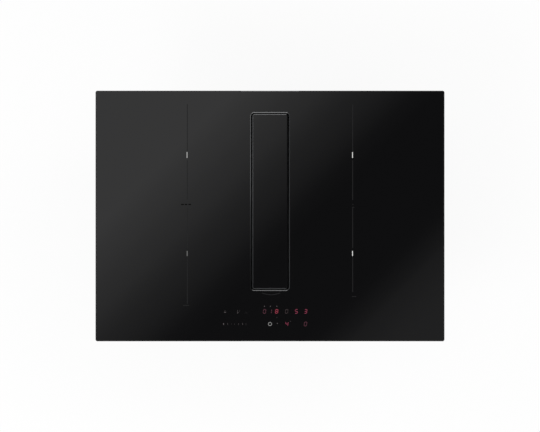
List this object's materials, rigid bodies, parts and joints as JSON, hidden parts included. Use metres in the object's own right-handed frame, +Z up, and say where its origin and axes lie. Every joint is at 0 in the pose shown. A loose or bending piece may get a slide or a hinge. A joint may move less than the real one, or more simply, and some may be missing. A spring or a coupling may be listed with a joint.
{
  "type": "downdraft induction cooktop",
  "caption": "Black glass induction cooktop with a tilting vent flap in its middle, touch controls, and a suction casing with lift-out filter, drip drawer and rear duct outlet below.",
  "frame": {"origin": "on the surface the casing stands on, under the middle of the glass", "axes": "+X to the right along the glass's long side, +Y to the back, +Z up out of the glass"},
  "size_m": [0.72, 0.517, 0.212],
  "materials": {
    "black_glass": "polished black glass-ceramic",
    "seal_foam": "closed-cell foam tape",
    "silicone": "cured silicone bead",
    "moulded_black": "moulded polypropylene, fine texture",
    "basket_plastic": "moulded, heat-proof",
    "control_plastic": "moulded",
    "fan_plastic": "moulded",
    "galvanised_steel": "galvanised sheet",
    "spring_steel": "spring steel",
    "stainless_steel": "stainless sheet",
    "filter_aluminium": "bright expanded sheet",
    "aluminium_sheet": "mill finish",
    "copper_winding": "enamelled litz wire",
    "former_plastic": "glass-filled moulding",
    "ferrite": "sintered",
    "mica": "pressed mineral sheet",
    "sensor": "plain",
    "circuit_board": "solder resist",
    "display": "diffused red digits",
    "key_foam": "conductive foam",
    "motor_steel": "machined and stamped",
    "wheel_steel": "galvanised sheet",
    "mount_rubber": "moulded"
  },
  "bodies": {
    "casing": {"basket_seat": "moulded_black", "board_rails": "control_plastic", "cable_gland": "moulded_black", "casing_base": "moulded_black", "coil_blanket_left": "mica", "coil_blanket_right": "mica", "coil_former_front_left": "former_plastic", "coil_former_front_right": "former_plastic", "coil_former_rear_left": "former_plastic", "coil_former_rear_right": "former_plastic", "coil_plate_left": "aluminium_sheet", "coil_plate_right": "aluminium_sheet", "coil_sensors": "sensor", "coil_windings": "copper_winding", "collar_bond": "silicone", "control_board": "circuit_board", "control_carrier": "control_plastic", "cooling_housings": "fan_plastic", "display_digits": "display", "ferrite_bars": "ferrite", "fixing_clips": "spring_steel", "glass_bond": "silicone", "glass_top": "black_glass", "heat_sink_left": "aluminium_sheet", "heat_sink_right": "aluminium_sheet", "housing_tray": "galvanised_steel", "intake_collar": "moulded_black", "intake_shaft": "moulded_black", "motor_bearings": "motor_steel", "motor_mounts": "mount_rubber", "motor_shields": "motor_steel", "motor_stator": "motor_steel", "outlet_spigot": "moulded_black", "plenum_cover": "moulded_black", "power_board_left": "circuit_board", "power_board_right": "circuit_board", "rim_seal": "seal_foam", "scroll_deck": "moulded_black", "terminal_block": "moulded_black", "touch_pads": "key_foam"},
    "filter_unit": {"filter_basket": "basket_plastic", "basket_floor": "basket_plastic", "filter_grip": "basket_plastic", "grease_filter_frame_left": "filter_aluminium", "grease_filter_frame_right": "filter_aluminium", "grease_filter_mesh_left": "filter_aluminium", "grease_filter_mesh_right": "filter_aluminium"},
    "flap_pivots": {"flap_pins": "stainless_steel"},
    "flap": {"flap_glass": "black_glass", "flap_carrier": "stainless_steel"},
    "drawer": {"drip_drawer": "moulded_black"},
    "blower_rotor": {"blower_wheel": "wheel_steel", "blower_blades": "wheel_steel", "blower_ring": "wheel_steel", "motor_rotor": "motor_steel"},
    "left_cooling_fan": {"cooling_rotor_left": "fan_plastic"},
    "right_cooling_fan": {"cooling_rotor_right": "fan_plastic"}
  },
  "joints": [
    {"name": "filter_lift", "type": "slide", "parent": "casing", "child": "filter_unit", "axis": [0, 0, 1], "range_m": [0, 0.15]},
    {"name": "flap_lift", "type": "slide", "parent": "filter_unit", "child": "flap_pivots", "axis": [0, 0, 1], "range_m": [0, 0.06]},
    {"name": "flap_tilt", "type": "hinge", "parent": "flap_pivots", "child": "flap", "pos_m": [0, 0.03, 0.2], "axis": [0, 1, 0], "range_deg": [-60, 60]},
    {"name": "drawer_slide", "type": "slide", "parent": "casing", "child": "drawer", "axis": [0, -1, 0], "range_m": [0, 0.25]},
    {"name": "blower_spin", "type": "hinge", "parent": "casing", "child": "blower_rotor", "pos_m": [0.148, -0.02, 0.02], "axis": [0, 0, 1], "continuous": true},
    {"name": "left_cooling_spin", "type": "hinge", "parent": "casing", "child": "left_cooling_fan", "pos_m": [-0.2, -0.188, 0.1492], "axis": [0, 0, 1], "continuous": true},
    {"name": "right_cooling_spin", "type": "hinge", "parent": "casing", "child": "right_cooling_fan", "pos_m": [0.2, -0.188, 0.1492], "axis": [0, 0, 1], "continuous": true}
  ]
}
